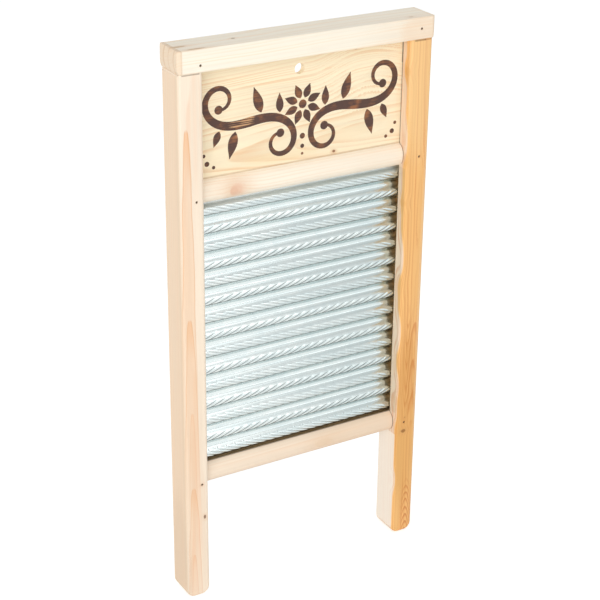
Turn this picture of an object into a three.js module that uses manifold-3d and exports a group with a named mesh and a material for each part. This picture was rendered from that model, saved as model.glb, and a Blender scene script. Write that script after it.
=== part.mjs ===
// Washboard played as a rhythm instrument: a ribbed metal sheet held in a pine frame.
// Millimetres. X runs across the board, Y from its front to its back, Z up from its feet.
import * as THREE from "three";
import { mergeVertices } from "three/addons/utils/BufferGeometryUtils.js";
import Module from "manifold-3d";

const wasm = await Module();
wasm.setup();

// Whole board. The legs end at the bottom rail, and the header opening lies between
// the middle rail and the cap, so the ribbed sheet takes what height is left.
// Hidden fits have the clearance, and the seams that show at the stiles the wider gap.
const totalHeight = 457;
const frameWidth = 217.5;
const legHeight = 98.8;
const headerOpening = 84.4;
const clearance = 0.3;
const seamGap = 0.6;
const overrun = 5;

// Stiles: the two long uprights, whose lower ends are the legs
const stileWidth = 20;
const stileDepth = 27;
const stileEdgeRound = 2.8;
const footRound = 7;
const shoulderRound = 2.4;
const stileGrooveDepth = 6;

// Cap rail across the top. Its ends bulge, less at the top than at the bottom,
// and their upright edges are rounded.
const capHeight = 17.2;
const capOverhangFront = 1.6;
const capOverhangSide = 1.3;
const capEndTopInset = 1.4;
const capEndLowInset = 2.3;
const capEndRound = 4.5;
const capEdgeRound = 1.2;
const capTenonCover = 5.2;
const capTenonInnerShoulder = 1;
const capTenonOuterShoulder = 3.5;

// Middle and bottom rails, nearly round in section
const railHeight = 19;
const railDepth = 17.6;
const railRound = 8.5;
const railTenonCover = 6;
const railGrooveDepth = 4.5;
const bottomTenonShoulder = 2.5;
const tenonThickness = 8;

// Header board and its hanging hole
const headerThickness = 5;
const hangingHoleRadius = 4.2;
const hangingHoleDrop = 12.2;
const hangingHoleOffset = -3;

// Ribbed sheet. The waves start and end in a valley, at these drops below the top of
// the bottom rail and below the underside of the middle rail.
const sheetThickness = 0.4;
const ribDepth = 4.4;
const ribCount = 15;
const ribStartDrop = 3.3;
const ribEndDrop = 0.8;
const ribSteps = 16;
const ribFlankShare = 0.93;

// Brads that pin the tenons. The bite is how far a cap brad's point goes past its tenon.
const bradBite = 0.4;
const bradShankRadius = 0.55;
const bradHeadRadius = 0.8;
const bradHeadThickness = 0.6;
const bradPointLength = 1.5;
const bradSetDepth = 0.5;
const bradClearance = 0.25;

// Facets of the round stretches
const edgeFacets = 7;
const arcFacets = 10;
const holeFacets = 40;
const bradFacets = 16;

// Places that several pieces share
const innerX = frameWidth / 2 - stileWidth;
const shoulderZ = totalHeight - capHeight;
const capDepth = stileDepth + 2 * capOverhangFront;
const panelDepth = Math.max(headerThickness, ribDepth + sheetThickness);
const grooveWidth = panelDepth + 2 * clearance;
const stileGrooveWidth = panelDepth + 2 * seamGap;
const middleRailTop = shoulderZ - headerOpening;
const middleRailBottom = middleRailTop - railHeight;
const bottomRailBottom = legHeight;
const bottomRailTop = bottomRailBottom + railHeight;
const panelReach = innerX + stileGrooveDepth - clearance;
const panelTuck = railGrooveDepth - clearance;
const railTenonReach = frameWidth / 2 - railTenonCover;
const bradLength = capDepth / 2 - bradSetDepth + tenonThickness / 2 + bradBite;
const capTenonInner = innerX + capTenonInnerShoulder;
const capTenonOuter = frameWidth / 2 - capTenonOuterShoulder;
const topTenon = [shoulderZ, totalHeight - capTenonCover];
const middleTenon = [middleRailBottom + railGrooveDepth, middleRailTop - railGrooveDepth];
const bottomTenon = [bottomRailBottom + bottomTenonShoulder, bottomRailTop - railGrooveDepth];

// Each brad stands at a share of the stile's width out from its inner face,
// and at a share of its tenon's height above the tenon's foot
const topJoint = { tenon: topTenon, face: -capDepth / 2 };
const middleJoint = { tenon: middleTenon, face: -stileDepth / 2 };
const bottomJoint = { tenon: bottomTenon, face: -stileDepth / 2 };
const brads = [
  { name: "cap_brad_left", side: -1, joint: topJoint, widthShare: 0.13, heightShare: 0.44 },
  { name: "cap_brad_right", side: 1, joint: topJoint, widthShare: 0.4, heightShare: 0.69 },
  { name: "middle_brad_left", side: -1, joint: middleJoint, widthShare: 0.33, heightShare: 0.16 },
  { name: "middle_brad_right", side: 1, joint: middleJoint, widthShare: 0.58, heightShare: 0.4 },
  { name: "bottom_brad_left", side: -1, joint: bottomJoint, widthShare: 0.29, heightShare: 0.2 },
  { name: "bottom_brad_right", side: 1, joint: bottomJoint, widthShare: 0.4, heightShare: 0.61 },
];

// Turns a closed three.js geometry into a solid that can be cut and joined
function solidOf(geometry) {
  const bare = geometry.clone();
  bare.deleteAttribute("normal");
  bare.deleteAttribute("uv");
  const merged = mergeVertices(bare);
  return new wasm.Manifold(new wasm.Mesh({
    numProp: 3,
    vertProperties: merged.attributes.position.array,
    triVerts: new Uint32Array(merged.index.array),
  }));
}

// Turns a solid back into a three.js geometry
function geometryOf(solid) {
  const mesh = solid.getMesh();
  const geometry = new THREE.BufferGeometry();
  geometry.setAttribute("position", new THREE.BufferAttribute(mesh.vertProperties, 3));
  geometry.setIndex(new THREE.BufferAttribute(mesh.triVerts, 1));
  geometry.computeVertexNormals();
  return geometry;
}

// A square-edged block between two places along each axis
function block(xPair, yPair, zPair) {
  const low = new THREE.Vector3(Math.min(...xPair), Math.min(...yPair), Math.min(...zPair));
  const high = new THREE.Vector3(Math.max(...xPair), Math.max(...yPair), Math.max(...zPair));
  const size = high.clone().sub(low);
  const geometry = new THREE.BoxGeometry(size.x, size.y, size.z);
  const middle = low.add(high).divideScalar(2);
  return solidOf(geometry.translate(middle.x, middle.y, middle.z));
}

// A board cut to an outline seen from the front, with its front and back edges rounded
function board(outline, depth, edgeRound) {
  const geometry = new THREE.ExtrudeGeometry(outline, {
    depth: depth - 2 * edgeRound,
    curveSegments: arcFacets,
    bevelEnabled: edgeRound > 0,
    bevelThickness: edgeRound,
    bevelSize: edgeRound,
    bevelOffset: -edgeRound,
    bevelSegments: edgeFacets,
  });
  geometry.translate(0, 0, edgeRound - depth / 2);
  return solidOf(geometry.rotateX(Math.PI / 2));
}

// A bar with one section, drawn in Y and Z, that runs along X
function bar(section, xFrom, xTo) {
  const geometry = new THREE.ExtrudeGeometry(section, {
    depth: xTo - xFrom,
    curveSegments: arcFacets,
    bevelEnabled: false,
  });
  const turn = new THREE.Matrix4().makeBasis(
    new THREE.Vector3(0, 1, 0), new THREE.Vector3(0, 0, 1), new THREE.Vector3(1, 0, 0));
  geometry.applyMatrix4(turn);
  return solidOf(geometry.translate(xFrom, 0, 0));
}

// A round rod from the front to the back
function rod(x, z, radius, yFrom, yTo, facets) {
  const geometry = new THREE.CylinderGeometry(radius, radius, yTo - yFrom, facets);
  return solidOf(geometry.translate(x, (yFrom + yTo) / 2, z));
}

// A rectangle with round corners, centred on its first axis
function roundedRectangle(width, low, high, round) {
  const half = width / 2;
  const radius = Math.min(round, half, (high - low) / 2);
  const shape = new THREE.Shape();
  shape.absarc(half - radius, low + radius, radius, -Math.PI / 2, 0);
  shape.absarc(half - radius, high - radius, radius, 0, Math.PI / 2);
  shape.absarc(radius - half, high - radius, radius, Math.PI / 2, Math.PI);
  shape.absarc(radius - half, low + radius, radius, Math.PI, 1.5 * Math.PI);
  return shape;
}

// Where a brad stands
function bradPlace(brad) {
  const [foot, top] = brad.joint.tenon;
  return {
    x: brad.side * (innerX + brad.widthShare * stileWidth),
    z: foot + brad.heightShare * (top - foot),
    y: brad.joint.face + bradSetDepth,
  };
}

// Cuts the bore and the head recess of every brad that reaches a wooden piece
function drilled(wood) {
  return brads.reduce((solid, brad) => {
    const { x, y, z } = bradPlace(brad);
    const headBack = y + bradHeadThickness + bradClearance;
    const head = rod(x, z, bradHeadRadius + bradClearance, y - overrun, headBack, bradFacets);
    const shankEnd = y + bradLength + bradClearance;
    const shank = rod(x, z, bradShankRadius + bradClearance, y, shankEnd, bradFacets);
    return solid.subtract(head).subtract(shank);
  }, wood);
}

// The tenon on top of a stile, grown by a fit on every free side
function capTenon(side, fit) {
  return block(
    [side * (capTenonInner - fit), side * (capTenonOuter + fit)],
    [-tenonThickness / 2 - fit, tenonThickness / 2 + fit],
    [topTenon[0] - overrun, topTenon[1] + fit],
  );
}

// The tenon on one end of a rail, grown by a fit on every free side
function railTenon(side, zPair, fit) {
  return block(
    [side * (innerX - overrun), side * (railTenonReach + fit)],
    [-tenonThickness / 2 - fit, tenonThickness / 2 + fit],
    [zPair[0] - fit, zPair[1] + fit],
  );
}

// What takes a stile's outer top corner down to a round
function shoulderCutter(side) {
  const outer = side * frameWidth / 2;
  const centreX = outer - side * shoulderRound;
  const centreZ = shoulderZ - shoulderRound;
  const corner = block(
    [centreX, outer + side * overrun], [-stileDepth, stileDepth], [centreZ, shoulderZ + overrun]);
  const kept = rod(centreX, centreZ, shoulderRound, -2 * stileDepth, 2 * stileDepth, holeFacets);
  return corner.subtract(kept);
}

function stile(side) {
  const outline = roundedRectangle(stileWidth, 0, totalHeight + footRound, footRound);
  const blank = board(outline, stileDepth, stileEdgeRound)
    .translate([side * (innerX + stileWidth / 2), 0, 0]);
  const above = block(
    [-frameWidth, frameWidth], [-stileDepth, stileDepth], [shoulderZ, 2 * totalHeight]);
  const groove = block(
    [side * (innerX - overrun), side * (innerX + stileGrooveDepth)],
    [-stileGrooveWidth / 2, stileGrooveWidth / 2],
    [bottomRailTop - railHeight / 2, 2 * totalHeight],
  );
  const cut = blank
    .subtract(above)
    .subtract(shoulderCutter(side))
    .subtract(groove)
    .subtract(railTenon(side, middleTenon, clearance))
    .subtract(railTenon(side, bottomTenon, clearance));
  const tenonRoot = capTenon(side, 0).subtract(groove.subtract(above));
  return drilled(cut.add(tenonRoot));
}

// What the cap's upright end edges are rounded by: its outline seen from above
function capPlan(bulgeX) {
  const plan = roundedRectangle(2 * bulgeX, -capDepth / 2, capDepth / 2, capEndRound);
  const geometry = new THREE.ExtrudeGeometry(plan, {
    depth: capHeight + 2 * overrun,
    curveSegments: arcFacets,
    bevelEnabled: false,
  });
  return solidOf(geometry.translate(0, 0, shoulderZ - overrun));
}

function capRail() {
  const bulgeX = frameWidth / 2 + capOverhangSide;
  const lowRoot = Math.sqrt(capEndLowInset);
  const below = capHeight * lowRoot / (lowRoot + Math.sqrt(capEndTopInset));
  const endRadius = (below ** 2 + capEndLowInset ** 2) / (2 * capEndLowInset);
  const lowAngle = Math.asin(below / endRadius);
  const topAngle = Math.asin((capHeight - below) / endRadius);
  const crownZ = shoulderZ + below;
  const outline = new THREE.Shape();
  outline.absarc(bulgeX - endRadius, crownZ, endRadius, -lowAngle, topAngle);
  outline.absarc(endRadius - bulgeX, crownZ, endRadius, Math.PI - topAngle, Math.PI + lowAngle);
  const groove = block(
    [-innerX, innerX],
    [-grooveWidth / 2, grooveWidth / 2],
    [shoulderZ - overrun, shoulderZ + railGrooveDepth],
  );
  return drilled(board(outline, capDepth, capEdgeRound)
    .intersect(capPlan(bulgeX))
    .subtract(groove)
    .subtract(capTenon(-1, clearance))
    .subtract(capTenon(1, clearance)));
}

// A rail's body between the stiles, with a tenon at each end
function tenonedRail(low, tenon) {
  const section = roundedRectangle(railDepth, low, low + railHeight, railRound);
  const shoulderX = innerX - seamGap;
  return bar(section, -shoulderX, shoulderX)
    .add(railTenon(-1, tenon, 0))
    .add(railTenon(1, tenon, 0));
}

// A groove along a rail, from the face at one height into the wood
function railGroove(faceZ, inward) {
  return block(
    [-innerX, innerX],
    [-grooveWidth / 2, grooveWidth / 2],
    [faceZ - inward * overrun, faceZ + inward * railGrooveDepth],
  );
}

function middleRail() {
  return drilled(tenonedRail(middleRailBottom, middleTenon)
    .subtract(railGroove(middleRailTop, -1))
    .subtract(railGroove(middleRailBottom, 1)));
}

function bottomRail() {
  return drilled(tenonedRail(bottomRailBottom, bottomTenon)
    .subtract(railGroove(bottomRailTop, -1)));
}

// The board that fills the frame's upper opening, its top corners notched past the stile tenons
function headerBoard() {
  const notchX = innerX - clearance;
  const shoulder = shoulderZ - clearance;
  const low = middleRailTop - panelTuck;
  const high = shoulderZ + panelTuck;
  const outline = new THREE.Shape([
    new THREE.Vector2(-panelReach, low),
    new THREE.Vector2(panelReach, low),
    new THREE.Vector2(panelReach, shoulder),
    new THREE.Vector2(notchX, shoulder),
    new THREE.Vector2(notchX, high),
    new THREE.Vector2(-notchX, high),
    new THREE.Vector2(-notchX, shoulder),
    new THREE.Vector2(-panelReach, shoulder),
  ]);
  const hole = rod(hangingHoleOffset, shoulderZ - hangingHoleDrop, hangingHoleRadius,
    -stileDepth, stileDepth, holeFacets);
  return board(outline, headerThickness, 0).subtract(hole);
}

// Depth of the ribbed sheet's middle at a phase, crests towards the front:
// a cosine whose flanks are steepened
function ribWave(phase) {
  const cosine = Math.cos(phase);
  const steep = ribFlankShare ** 2;
  return -(ribDepth / 2) * cosine * Math.sqrt((1 + steep) / (1 + steep * cosine ** 2));
}

function ribbedSheet() {
  const low = bottomRailTop - panelTuck;
  const high = middleRailBottom + panelTuck;
  const waveLow = bottomRailTop - ribStartDrop;
  const wavePitch = (middleRailBottom - ribEndDrop - waveLow) / ribCount;
  const steps = ribCount * ribSteps;
  const middle = [new THREE.Vector2(ribWave(Math.PI), low)];
  for (let step = 0; step <= steps; step += 1) {
    const turns = step / ribSteps;
    middle.push(new THREE.Vector2(ribWave(Math.PI + 2 * Math.PI * turns), waveLow + turns * wavePitch));
  }
  middle.push(new THREE.Vector2(ribWave(Math.PI), high));
  const across = middle.map((point, index) => {
    const before = middle[Math.max(index - 1, 0)];
    const after = middle[Math.min(index + 1, middle.length - 1)];
    const along = after.clone().sub(before).normalize();
    return new THREE.Vector2(along.y, -along.x).multiplyScalar(sheetThickness / 2);
  });
  const back = middle.map((point, index) => point.clone().add(across[index]));
  const front = middle.map((point, index) => point.clone().sub(across[index]));
  return bar(new THREE.Shape([...back, ...front.reverse()]), -panelReach, panelReach);
}

// A brad with a flat head and a point, driven in from the front
function bradGeometry(brad) {
  const { x, y, z } = bradPlace(brad);
  const profile = [
    new THREE.Vector2(0, bradLength),
    new THREE.Vector2(bradShankRadius, bradLength - bradPointLength),
    new THREE.Vector2(bradShankRadius, bradHeadThickness),
    new THREE.Vector2(bradHeadRadius, bradHeadThickness),
    new THREE.Vector2(bradHeadRadius, 0),
    new THREE.Vector2(0, 0),
  ];
  const geometry = new THREE.LatheGeometry(profile.reverse(), bradFacets);
  return geometryOf(solidOf(geometry.translate(x, y, z)));
}

function finish(colour, roughness, metalness) {
  return new THREE.MeshStandardMaterial({ color: colour, roughness, metalness });
}

function addMesh(group, name, geometry, material) {
  const mesh = new THREE.Mesh(geometry, material);
  mesh.name = name;
  group.add(mesh);
}

const palePine = finish(0xf1d3a6, 0.55, 0);
const heartPine = finish(0xe0944a, 0.55, 0);
const creamPine = finish(0xf4e0b0, 0.55, 0);
const galvanised = finish(0xbccaca, 0.32, 0.9);
const bradSteel = finish(0x4a4038, 0.5, 0.8);

const washboard = new THREE.Group();
addMesh(washboard, "left_stile", geometryOf(stile(-1)), palePine);
addMesh(washboard, "right_stile", geometryOf(stile(1)), heartPine);
addMesh(washboard, "cap_rail", geometryOf(capRail()), creamPine);
addMesh(washboard, "middle_rail", geometryOf(middleRail()), creamPine);
addMesh(washboard, "bottom_rail", geometryOf(bottomRail()), palePine);
addMesh(washboard, "header_board", geometryOf(headerBoard()), creamPine);
addMesh(washboard, "ribbed_sheet", geometryOf(ribbedSheet()), galvanised);
for (const brad of brads) {
  addMesh(washboard, brad.name, bradGeometry(brad), bradSteel);
}

export default washboard;
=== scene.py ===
"""Looks of a framed washboard: pine frame, burned header board, fluted metal sheet and brads."""

import logging
import math
from collections.abc import Callable, Mapping, Sequence
from dataclasses import dataclass, field
from enum import Enum
from functools import reduce

import bpy
import numpy as np
from mathutils import Matrix, Vector


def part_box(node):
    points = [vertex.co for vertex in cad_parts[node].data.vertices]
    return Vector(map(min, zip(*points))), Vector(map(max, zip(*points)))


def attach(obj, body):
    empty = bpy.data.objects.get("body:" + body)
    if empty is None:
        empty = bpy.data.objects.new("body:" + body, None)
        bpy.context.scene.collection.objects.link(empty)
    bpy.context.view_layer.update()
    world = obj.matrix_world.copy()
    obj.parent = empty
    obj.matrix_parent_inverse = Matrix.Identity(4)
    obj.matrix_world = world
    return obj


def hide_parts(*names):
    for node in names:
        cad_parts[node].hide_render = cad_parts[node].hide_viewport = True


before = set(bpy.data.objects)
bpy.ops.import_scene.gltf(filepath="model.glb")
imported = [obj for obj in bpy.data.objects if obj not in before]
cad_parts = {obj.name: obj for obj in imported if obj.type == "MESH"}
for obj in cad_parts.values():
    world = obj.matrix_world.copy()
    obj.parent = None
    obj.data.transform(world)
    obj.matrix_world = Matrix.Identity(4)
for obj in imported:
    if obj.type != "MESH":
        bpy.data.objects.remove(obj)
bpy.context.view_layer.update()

LOG = logging.getLogger("washboard")
MM = 0.001
BODY = "root"
RIB_PITCH = 14.74
FIRST_VALLEY = 114.5

Socket = bpy.types.NodeSocket
Sockets = Mapping[str, Socket]
Material = bpy.types.Material
Thing = bpy.types.Object
Pair = tuple[float, float]
Triple = tuple[float, float, float]
Value = Socket | float | str | tuple[float, ...]


def srgb(text: str) -> tuple[float, float, float, float]:
    """Turns a colour written as six hexadecimal digits into linear light.

    Args:
        text: The colour as RRGGBB.

    Returns:
        Linear red, green and blue, and an alpha of one.
    """
    parts = [int(text[i : i + 2], 16) / 255 for i in (0, 2, 4)]
    linear = [c / 12.92 if c <= 0.04045 else ((c + 0.055) / 1.055) ** 2.4 for c in parts]
    return (linear[0], linear[1], linear[2], 1.0)


class Fibres(Enum):
    """Which way the fibres of a board run, as a turn from upright in radians."""

    UPRIGHT = 0.0
    ACROSS = math.pi / 2


def emptied(owner: Material | bpy.types.World) -> bpy.types.NodeTree:
    """Clears the nodes of a material or a world.

    Args:
        owner: The material or the world.

    Returns:
        Its empty tree.
    """
    owner.use_nodes = True
    owner.node_tree.nodes.clear()
    return owner.node_tree


class Graph:
    """Adds and wires the nodes of one tree."""

    def __init__(self, tree: bpy.types.NodeTree) -> None:
        """Keeps the tree that the nodes go into."""
        self.tree = tree

    def feed(self, target: Socket, value: Value) -> None:
        """Wires a socket into another, or sets a plain value on it.

        Args:
            target: The input to feed.
            value: An output socket, a number, a tuple of numbers or a colour as RRGGBB.
        """
        if isinstance(value, bpy.types.NodeSocket):
            self.tree.links.new(value, target)
        else:
            target.default_value = srgb(value) if isinstance(value, str) else value

    def node(self, kind: str, *values: Value | None, **settings: object) -> bpy.types.Node:
        """Adds a node.

        Args:
            kind: The node's type, without the word ShaderNode.
            *values: What its inputs get, in order, where None leaves one as it is.
            **settings: Properties to set on it.

        Returns:
            The new node.
        """
        made = self.tree.nodes.new(kind if kind.startswith("NodeGroup") else f"ShaderNode{kind}")
        for name, value in settings.items():
            setattr(made, name, value)
        for target, value in zip(made.inputs, values, strict=False):
            if value is not None:
                self.feed(target, value)
        return made

    def maths(self, operation: str, *values: Value, clamp: bool = False) -> Socket:
        """Adds a Math node and gives its output."""
        return self.node("Math", *values, operation=operation, use_clamp=clamp).outputs[0]

    def plus(self, *values: Value) -> Value:
        """Adds numbers up."""
        return reduce(lambda total, value: self.maths("ADD", total, value), values)

    def times(self, *values: Value) -> Value:
        """Multiplies numbers with each other."""
        return reduce(lambda total, value: self.maths("MULTIPLY", total, value), values)

    def minus(self, first: Value, second: Value) -> Socket:
        """Takes the second number from the first."""
        return self.maths("SUBTRACT", first, second)

    def plain(self, value: Value) -> Socket:
        """Drops a number's sign."""
        return self.maths("ABSOLUTE", value)

    def vector(self, operation: str, *values: Value) -> Socket:
        """Adds a Vector Math node and gives its output."""
        made = self.node("VectorMath", *values, operation=operation)
        return made.outputs["Value" if operation == "LENGTH" else "Vector"]

    def axes(self, point: Value) -> Sockets:
        """Splits a point into X, Y and Z."""
        return self.node("SeparateXYZ", point).outputs

    def step(self, value: Value, low: float, high: float) -> Socket:
        """Adds a smooth step.

        Args:
            value: What is measured.
            low: Where the step is zero.
            high: Where it is one, which may lie below that.

        Returns:
            The step's output.
        """
        if low > high:
            return self.minus(1.0, self.step(value, high, low))
        return self.node("MapRange", value, low, high, interpolation_type="SMOOTHSTEP").outputs["Result"]

    def mix(self, share: Value, first: Value, second: Value, blend: str = "MIX") -> Socket:
        """Mixes two colours.

        Args:
            share: How much of the second colour there is.
            first: The first colour.
            second: The second colour.
            blend: How they are mixed.

        Returns:
            The mixed colour.
        """
        made = self.node("Mix", share, data_type="RGBA", blend_type=blend)
        self.feed(made.inputs[6], first)
        self.feed(made.inputs[7], second)
        return made.outputs[2]

    def noise(self, place: Value, grain: Triple, detail: float = 2.0, output: str = "Fac") -> Socket:
        """Adds noise with so many grains in a millimetre along each axis."""
        scaled = self.vector("MULTIPLY", place, grain)
        return self.node("TexNoise", scaled, None, 1.0, detail).outputs[output]


def shared_group(
    wiring: Callable[[Graph, Sockets], Sockets], values: Mapping[str, Value]
) -> bpy.types.NodeTree:
    """Makes a node group whose outputs are numbers.

    Args:
        wiring: Wires the group's inside and gives what is behind each output.
        values: What its inputs get first, which tells points from numbers.

    Returns:
        The group's tree.
    """
    tree = bpy.data.node_groups.new(wiring.__name__, "ShaderNodeTree")
    for name, value in values.items():
        point = isinstance(value, tuple) or getattr(value, "type", "") == "VECTOR"
        kind = "NodeSocketVector" if point else "NodeSocketFloat"
        tree.interface.new_socket(name=name, in_out="INPUT", socket_type=kind)
    graph = Graph(tree)
    made = wiring(graph, graph.node("NodeGroupInput").outputs)
    for name in made:
        tree.interface.new_socket(name=name, in_out="OUTPUT", socket_type="NodeSocketFloat")
    graph.node("NodeGroupOutput", *made.values())
    return tree


def growth_rings(graph: Graph, start: Sockets) -> Sockets:
    """Wires growth rings round a pith that runs along Z, in millimetres.

    Args:
        graph: The group's graph.
        start: The group's inputs.

    Returns:
        The late wood's share and the distance from the pith.
    """
    place = start["Place"]
    wander_grain, half = (0.03, 0.03, 0.006), (0.5, 0.5, 0.5)
    year_grain, year_spread = 0.45, 1.6
    slow = graph.noise(place, wander_grain, output="Color")
    shift = graph.vector("MULTIPLY", graph.vector("SUBTRACT", slow, half), start["Wander"])
    level = graph.vector("MULTIPLY", graph.vector("ADD", place, shift), (1.0, 1.0, 0.0))
    lean = graph.times(graph.axes(place)["Z"], start["Taper"])
    radius = graph.plus(graph.vector("LENGTH", level), lean, start["Bulge"])
    years = graph.maths("DIVIDE", radius, start["Ring Width"])
    seasons = graph.node("TexNoise", None, graph.times(years, year_grain), 1.0, noise_dimensions="1D")
    uneven = graph.plus(years, graph.times(seasons.outputs["Fac"], year_spread))
    share = graph.maths("FRACT", uneven)
    return {"Late": graph.times(graph.step(share, 0.3, 0.9), graph.step(share, 1.0, 0.92)), "Radius": radius}


def wood_fibres(graph: Graph, start: Sockets) -> Sockets:
    """Wires fine and broad streaks along Z, each about one half."""
    fine = graph.noise(start["Place"], (2.6, 2.6, 0.05), 3.0)
    return {"Fine": fine, "Broad": graph.noise(start["Place"], (0.22, 0.22, 0.007))}


def round_mark(graph: Graph, start: Sockets) -> Sockets:
    """Wires a soft-edged mark of three radii, such as a knot or a stain.

    Args:
        graph: The group's graph.
        start: The group's inputs.

    Returns:
        The mark's core and its wider halo.
    """
    rough_grain, roughness = (0.9, 0.9, 0.9), 0.4
    away = graph.vector("SUBTRACT", start["Place"], start["Centre"])
    reach = graph.vector("LENGTH", graph.vector("DIVIDE", away, start["Radii"]))
    ragged = graph.plus(reach, graph.times(graph.noise(start["Place"], rough_grain), roughness))
    return {"Core": graph.step(ragged, 1.35, 0.85), "Halo": graph.step(ragged, 3.6, 0.6)}


def flame_mark(graph: Graph, start: Sockets) -> Sockets:
    """Wires a tongue of darker wood that widens downwards from a round tip.

    Args:
        graph: The group's graph.
        start: The group's inputs.

    Returns:
        The tongue's mask and the thin line round its edge.
    """
    sway_grain, sway_reach, roundness, hollowness = (0.02, 0.02, 0.02), 3.0, 0.35, 0.6
    away = graph.axes(graph.vector("SUBTRACT", start["Place"], start["Tip"]))
    sway = graph.times(graph.minus(graph.noise(start["Place"], sway_grain), 0.5), sway_reach)
    share = graph.maths("DIVIDE", graph.times(away["Z"], -1.0), start["Length"], clamp=True)
    width = graph.times(graph.maths("POWER", share, roundness), start["Width"])
    inner = graph.minus(width, graph.plain(graph.plus(away["X"], sway)))
    ends = graph.times(graph.step(share, 0.0, 0.015), graph.step(share, 1.0, 0.4))
    fade = graph.times(ends, graph.step(graph.plain(away["Y"]), 2.5, 0.8))
    rim = graph.step(graph.plain(graph.minus(inner, 0.3)), 0.55, 0.1)
    drained = graph.minus(1.0, graph.times(graph.step(share, 0.02, 0.2), hollowness))
    mask = graph.times(graph.step(inner, -0.3, 0.5), fade, drained)
    return {"Mask": mask, "Rim": graph.times(rim, fade)}


def nested_arcs(graph: Graph, start: Sockets) -> Sockets:
    """Wires rings cut almost along the face, which show there as nested arcs.

    Args:
        graph: The group's graph.
        start: The group's inputs.

    Returns:
        The arcs' mask.
    """
    wobble_grain, wobble_reach = (0.12, 0.12, 0.05), 1.2
    away = graph.vector("SUBTRACT", start["Place"], start["Centre"])
    axes = graph.axes(away)
    bent = graph.plus(axes["Z"], graph.times(axes["X"], axes["X"], start["Bend"]))
    wobble = graph.times(graph.noise(start["Place"], wobble_grain), wobble_reach)
    share = graph.maths("FRACT", graph.plus(graph.maths("DIVIDE", bent, start["Spacing"]), wobble))
    line = graph.times(graph.step(share, 0.35, 0.85), graph.step(share, 1.0, 0.9))
    reach = graph.vector("LENGTH", graph.vector("DIVIDE", away, start["Radii"]))
    return {"Mask": graph.times(line, graph.step(reach, 1.15, 0.6))}


def seam_shade(graph: Graph, start: Sockets) -> Sockets:
    """Wires the mask of a round-edged box, such as the painted shade where two boards meet.

    Args:
        graph: The group's graph.
        start: The group's inputs.

    Returns:
        The box's mask.
    """
    away = graph.vector("ABSOLUTE", graph.vector("SUBTRACT", start["Place"], start["Centre"]))
    beyond = graph.vector("MAXIMUM", graph.vector("SUBTRACT", away, start["Core"]), (0.0, 0.0, 0.0))
    edge = graph.minus(graph.vector("LENGTH", beyond), start["Round"])
    return {"Mask": graph.step(edge, 0.1, -0.25)}


@dataclass(frozen=True)
class Mark:
    """A knot, pitch spot, stain, bend of the grain or broad change of tone, in millimetres."""

    centre: Triple  # its middle on the board
    radii: Triple  # how far it reaches along each axis
    colour: str = ""
    strength: float = 0.0  # how much of the wood it covers
    swell: float = 0.0  # how far it pushes the growth rings aside


@dataclass(frozen=True)
class Flame:
    """A tongue of orange wood, in millimetres."""

    tip: Triple  # the tongue's upper end
    width: float  # half its widest width
    length: float  # how far down it reaches
    strength: float  # how strong its colour is


@dataclass(frozen=True)
class Arcs:
    """Nested arcs of growth rings, in millimetres."""

    centre: Triple  # their middle on the board
    radii: Triple  # how far they reach along each axis
    spacing: float  # the distance between arcs
    bend: float  # how sharply they bend; below zero they open upwards
    strength: float  # how strong their colour is


@dataclass(frozen=True)
class Shade:
    """A tone inside a round-edged box, in millimetres: mostly painted shade in seams and grooves, some tints
    of the wood.
    """

    centre: Triple  # the box's middle
    half: Triple  # half its size along each axis
    rounding: float = 0.1  # the radius of its edges
    # The default is the dark brown of painted shade in a seam
    colour: str = "4a3020"
    strength: float = 0.85  # how much of the wood it covers

    def core(self) -> Triple:
        """Gives half the box's size without its round edges."""
        return tuple(max(size - self.rounding, 0.0) for size in self.half)


class Surface(Graph):
    """The graph of a material that reads the object's own coordinates, in millimetres."""

    def __init__(self, name: str) -> None:
        """Makes an empty material.

        Args:
            name: The material's name.
        """
        self.material = bpy.data.materials.new(name)
        super().__init__(emptied(self.material))
        here = self.node("TexCoord").outputs["Object"]
        self.place = self.vector("MULTIPLY", here, (1 / MM, 1 / MM, 1 / MM))

    def group(self, wiring: Callable[[Graph, Sockets], Sockets], **values: Value) -> Sockets:
        """Places a shared group, which is made at its first use.

        Args:
            wiring: Wires the group's inside and gives what is behind each output.
            **values: What its inputs get, by name, with spaces written as underscores.
                Place is the point on the piece where none is given.

        Returns:
            The group's outputs.
        """
        values.setdefault("Place", self.place)
        named = {name.replace("_", " "): value for name, value in values.items()}
        tree = bpy.data.node_groups.get(wiring.__name__) or shared_group(wiring, named)
        made = self.node("Group", node_tree=tree)
        for name, value in named.items():
            self.feed(made.inputs[name], value)
        return made.outputs

    def finish(self, height: Socket, relief: Pair, **inputs: Value) -> Material:
        """Wires the shader.

        Args:
            height: The height of the fine relief, as a share.
            relief: How strong that relief is, and how high in millimetres.
            **inputs: What the shader's inputs get, by name, with spaces written as underscores.

        Returns:
            The finished material.
        """
        bump = self.node("Bump")
        for name, value in {"Strength": relief[0], "Distance": relief[1] * MM, "Height": height}.items():
            self.feed(bump.inputs[name], value)
        shader = self.node("BsdfPrincipled")
        for name, value in {**inputs, "Normal": bump.outputs[0]}.items():
            self.feed(shader.inputs[name.replace("_", " ")], value)
        self.node("OutputMaterial", shader.outputs[0])
        return self.material


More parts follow.
